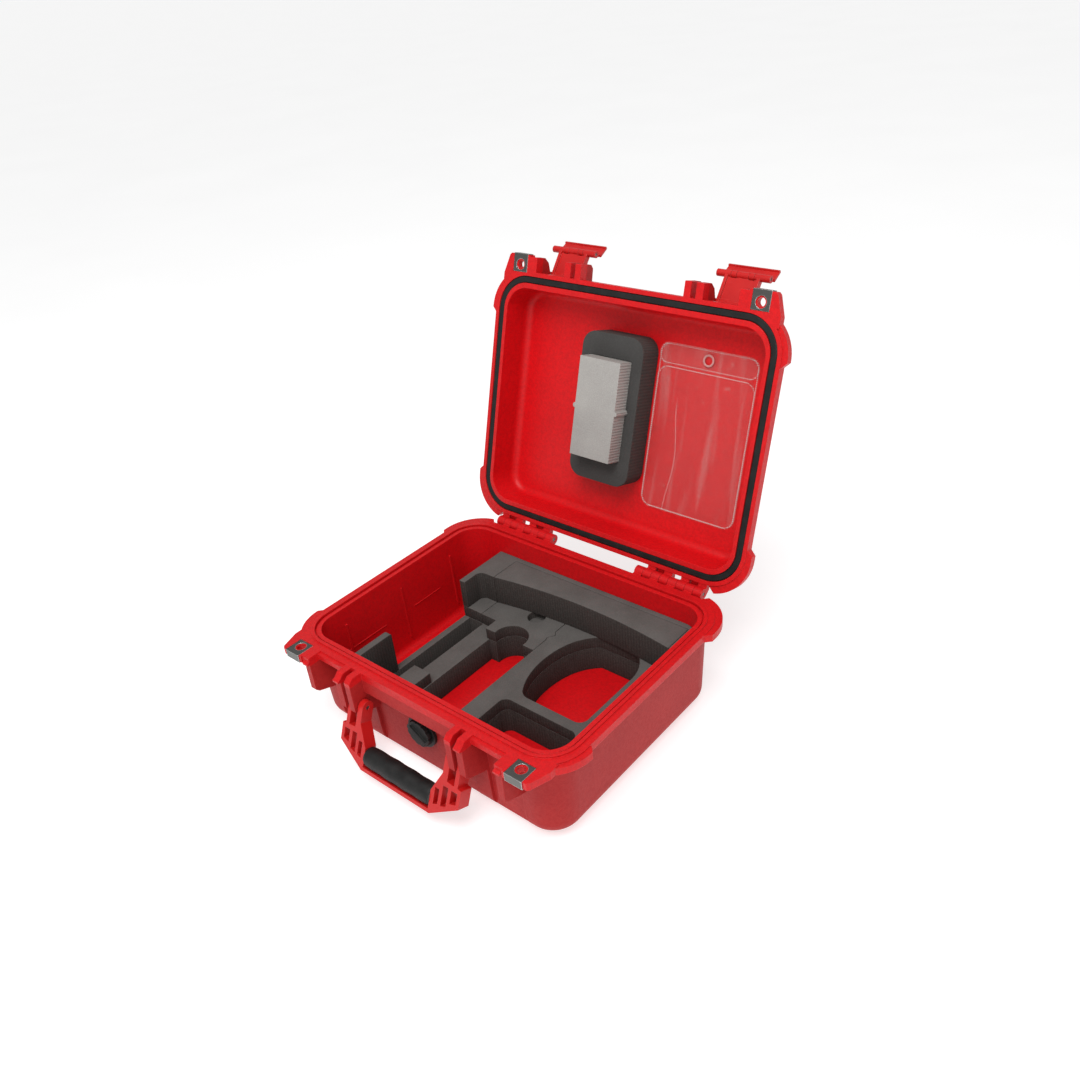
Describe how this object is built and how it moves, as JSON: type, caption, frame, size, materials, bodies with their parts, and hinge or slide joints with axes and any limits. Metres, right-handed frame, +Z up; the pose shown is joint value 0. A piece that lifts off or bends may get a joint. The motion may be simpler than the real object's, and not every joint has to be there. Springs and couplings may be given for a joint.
{
  "type": "hard protective case",
  "caption": "Hard-shell carrying case with hinged lid, twin throw latches, folding handle, purge valve and cut foam inserts shaped for a tool.",
  "frame": {"origin": "on the table under the middle of the base, level with its feet", "axes": "+Z up, -Y towards the handle side, +X to the right when facing the handle side"},
  "size_m": [0.339, 0.4398, 0.3688],
  "materials": {
    "red_shell": "fine satin moulding texture",
    "red_fittings": "satin",
    "black_plastic": "satin",
    "black_rubber": "matt",
    "steel": "brushed",
    "dark_foam": "closed-cell foam, cut",
    "pale_foam": "closed-cell foam, cut",
    "clear_sheet": "clear soft sheet"
  },
  "bodies": {
    "base": {"base_shell": "red_shell", "base_padlock_guard_right": "steel", "base_padlock_guard_left": "steel", "hinge_pin_right": "steel", "hinge_pin_left": "steel", "handle_pin_right": "steel", "handle_pin_left": "steel", "valve_body": "black_plastic", "valve_seal": "black_rubber", "valve_nut": "black_plastic", "foam_bottom_sheet": "dark_foam", "foam_left_sheet": "dark_foam", "foam_right_sheet": "dark_foam", "foam_small_block": "dark_foam", "foam_post_base": "dark_foam", "foam_surround": "dark_foam", "foam_back_bar": "dark_foam", "foam_front_post": "dark_foam"},
    "lid": {"lid_shell": "red_shell", "lid_gasket": "black_rubber", "lid_padlock_guard_right": "steel", "lid_padlock_guard_left": "steel", "latch_pivot_pin_right": "steel", "latch_pivot_pin_left": "steel", "lid_foam_pad": "dark_foam", "lid_foam_insert": "pale_foam", "pouch_back_sheet": "clear_sheet", "pouch_front_sheet": "clear_sheet", "pouch_flap": "clear_sheet", "pouch_snap": "clear_sheet"},
    "latch_link_right": {"latch_link_right": "red_fittings", "latch_joint_pin_right": "steel"},
    "latch_lever_right": {"latch_lever_right": "red_fittings"},
    "latch_link_left": {"latch_link_left": "red_fittings", "latch_joint_pin_left": "steel"},
    "latch_lever_left": {"latch_lever_left": "red_fittings"},
    "handle": {"handle_frame": "red_fittings", "handle_grip": "black_rubber"},
    "valve_knob": {"valve_knob": "black_plastic"}
  },
  "joints": [
    {"name": "lid_hinge", "type": "hinge", "parent": "base", "child": "lid", "pos_m": [0, 0.13724, 0.09853], "axis": [1, 0, 0], "range_deg": [0, 106.64]},
    {"name": "latch_link_right_pivot", "type": "hinge", "parent": "lid", "child": "latch_link_right", "pos_m": [0.09675, 0.24033, 0.34194], "axis": [1, 0, 0], "range_deg": [0, 62.8]},
    {"name": "latch_lever_right_pivot", "type": "hinge", "parent": "latch_link_right", "child": "latch_lever_right", "pos_m": [0.09675, 0.25842, 0.36449], "axis": [1, 0, 0], "range_deg": [0, 101.2]},
    {"name": "latch_link_left_pivot", "type": "hinge", "parent": "lid", "child": "latch_link_left", "pos_m": [-0.09675, 0.24033, 0.34194], "axis": [1, 0, 0], "range_deg": [0, 62.8]},
    {"name": "latch_lever_left_pivot", "type": "hinge", "parent": "latch_link_left", "child": "latch_lever_left", "pos_m": [-0.09675, 0.25842, 0.36449], "axis": [1, 0, 0], "range_deg": [0, 101.2]},
    {"name": "handle_pivot", "type": "hinge", "parent": "base", "child": "handle", "pos_m": [0, -0.1341, 0.066], "axis": [1, 0, 0], "range_deg": [-80, 16]},
    {"name": "valve_knob_turn", "type": "hinge", "parent": "base", "child": "valve_knob", "pos_m": [0, -0.12, 0.0543], "axis": [0, 1, 0], "range_deg": [0, 90]}
  ]
}
